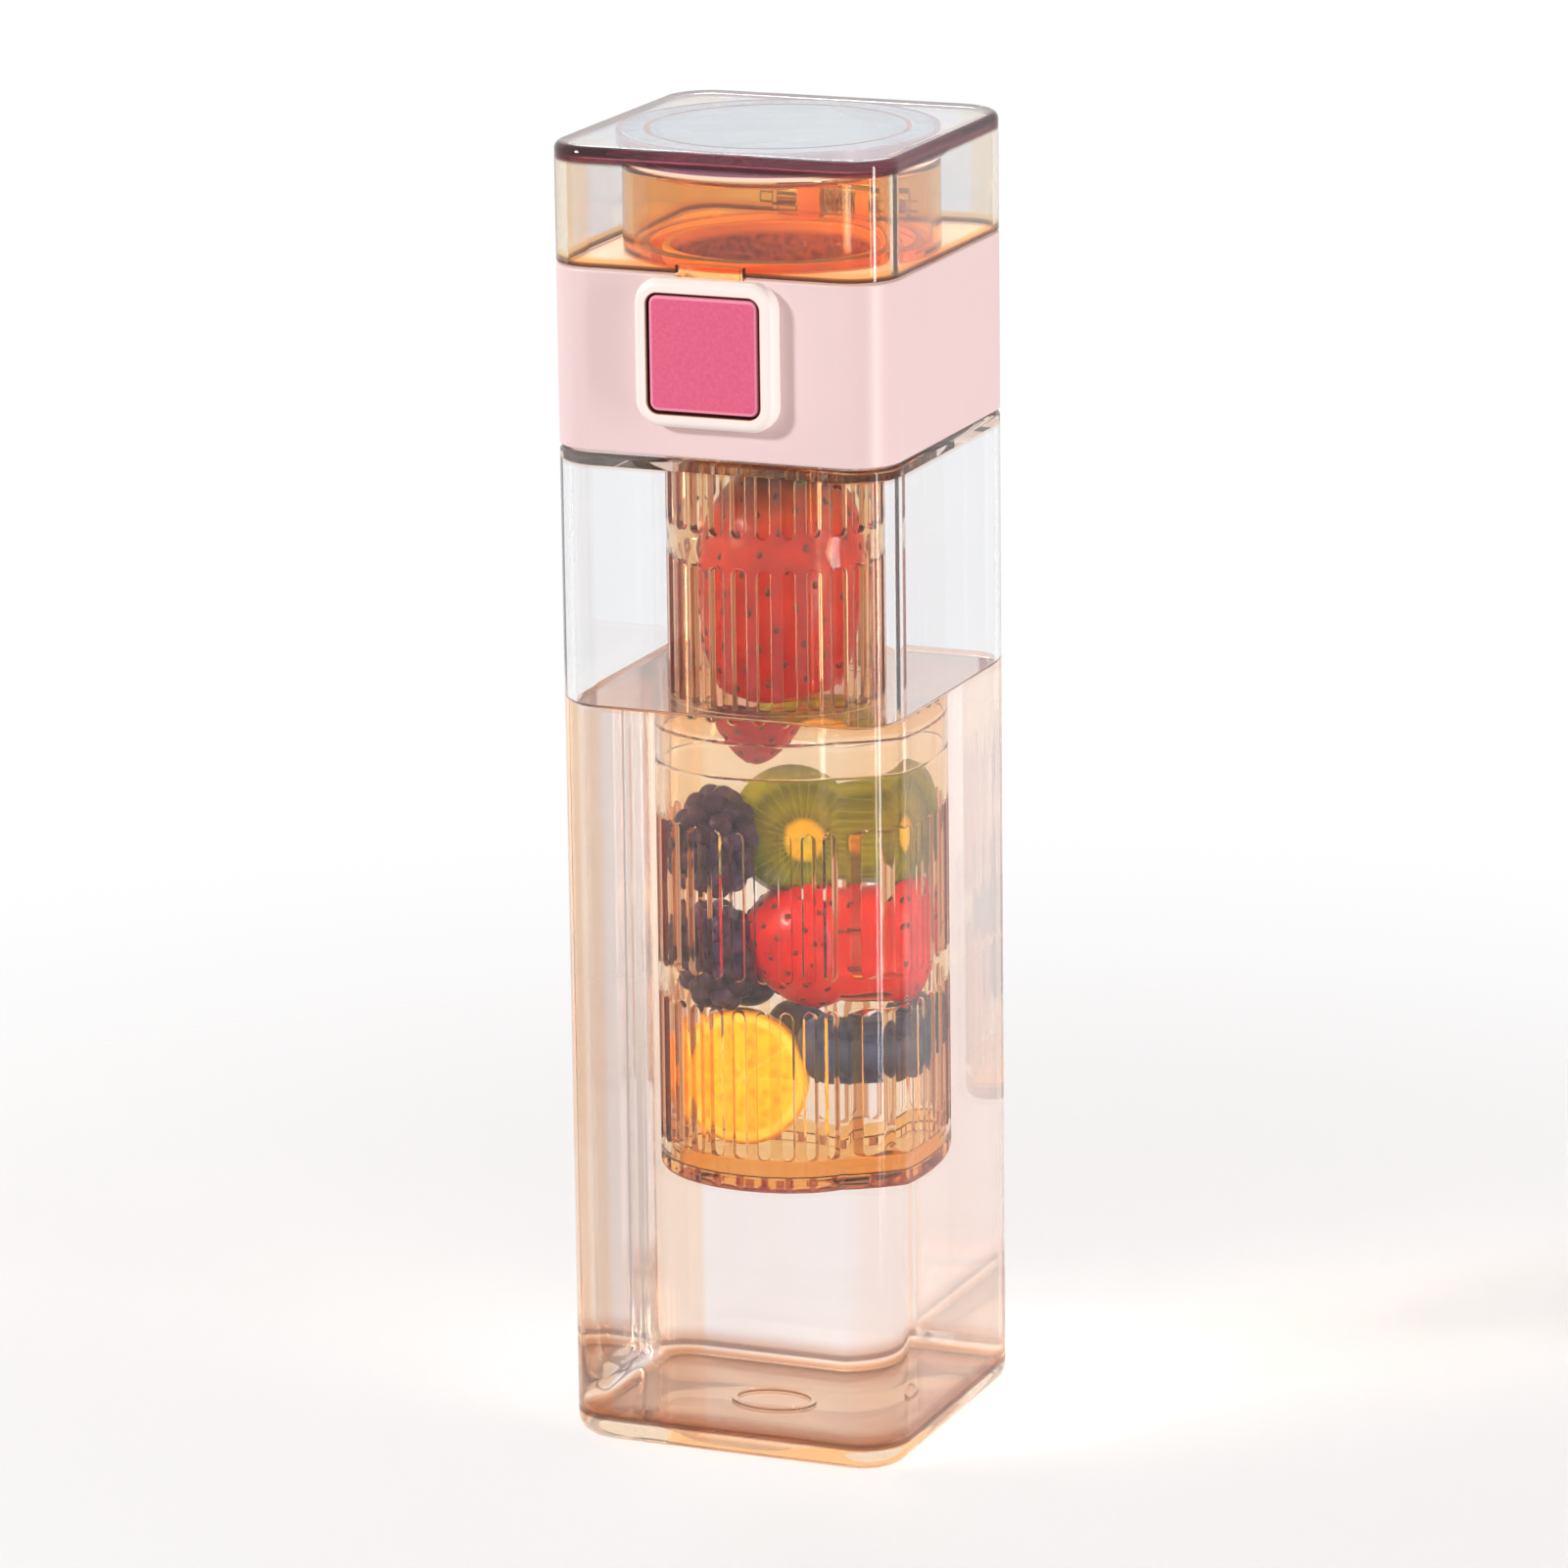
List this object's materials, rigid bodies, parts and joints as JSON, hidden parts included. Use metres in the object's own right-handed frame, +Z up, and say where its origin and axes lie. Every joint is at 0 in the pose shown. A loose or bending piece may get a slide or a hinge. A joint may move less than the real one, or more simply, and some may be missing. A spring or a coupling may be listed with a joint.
{
  "type": "fruit infuser water bottle",
  "caption": "Square clear water bottle with a push-button flip lid over a drinking ring, a quarter-turn head and a slotted fruit infuser tube hanging in its neck.",
  "frame": {"origin": "centre of the bottle's foot, on the surface it stands on", "axes": "+Z up along the bottle, -Y out of the face with the button, +Y out of the face with the hinge"},
  "size_m": [0.062, 0.0684, 0.2295],
  "materials": {
    "clear_tank": "clear moulded plastic, faintly amber where it is thick",
    "clear_lid": "clear moulded plastic, dark amber along its edges",
    "amber_clear": "clear amber moulded plastic, glossy",
    "pink_shell": "pale pink moulded plastic, satin",
    "peach_deck": "peach moulded plastic, satin",
    "cream_frame": "cream moulded plastic, glossy",
    "magenta_pad": "magenta pad with a fine grain",
    "silicone": "translucent white silicone",
    "spring_steel": "drawn stainless steel wire"
  },
  "bodies": {
    "bottle": {"bottle_body": "clear_tank"},
    "infuser": {"infuser_ring": "amber_clear", "neck_gasket": "silicone"},
    "basket": {"basket_upper": "amber_clear"},
    "basket_foot": {"basket_lower": "amber_clear"},
    "cap": {"infuser_cap": "amber_clear"},
    "strainer_lift": {"strainer": "amber_clear"},
    "seal": {"mouth_seal": "silicone"},
    "head": {"head_shell": "pink_shell", "head_core": "pink_shell", "head_deck": "peach_deck", "mouth_ring": "amber_clear", "button_bezel": "cream_frame", "hinge_pin": "spring_steel", "hinge_spring": "spring_steel", "press_springs": "spring_steel"},
    "button": {"button_key": "cream_frame", "button_pad": "magenta_pad", "latch_hook": "cream_frame"},
    "lid": {"lid_shell": "clear_lid", "lid_gasket": "silicone", "lid_catch": "amber_clear"}
  },
  "joints": [
    {"name": "lift_out", "type": "slide", "parent": "bottle", "child": "infuser", "axis": [0, 0, 1], "range_m": [0, 0.16]},
    {"name": "head_rise", "type": "slide", "parent": "infuser", "child": "seal", "axis": [0, 0, 1], "range_m": [0, 0.00401]},
    {"name": "head_turn", "type": "hinge", "parent": "seal", "child": "head", "pos_m": [0, 0, 0.19], "axis": [0, 0, 1], "range_deg": [0, 90]},
    {"name": "lid_open", "type": "hinge", "parent": "head", "child": "lid", "pos_m": [0, 0.0312, 0.2112], "axis": [-1, 0, 0], "range_deg": [0, 120], "deforming": ["hinge_spring"]},
    {"name": "button_press", "type": "slide", "parent": "head", "child": "button", "axis": [0, 1, 0], "range_m": [0, 0.0012], "stiffness_N_per_m": 900, "springref_m": -0.0012, "deforming": ["press_springs"]},
    {"name": "strainer_pull", "type": "slide", "parent": "infuser", "child": "strainer_lift", "axis": [0, 0, 1], "range_m": [0, 0.014]},
    {"name": "basket_twist", "type": "hinge", "parent": "infuser", "child": "basket", "pos_m": [0, 0, 0.19], "axis": [0, 0, 1], "range_deg": [0, 45]},
    {"name": "foot_twist", "type": "hinge", "parent": "basket", "child": "basket_foot", "pos_m": [0, 0, 0.12], "axis": [0, 0, 1], "range_deg": [0, 45]},
    {"name": "cap_twist", "type": "hinge", "parent": "basket_foot", "child": "cap", "pos_m": [0, 0, 0.049], "axis": [0, 0, 1], "range_deg": [0, 45]}
  ],
  "couplings": [
    {"joint": "head_rise", "follows": "head_turn", "m_per_rad": 0.0025465}
  ]
}
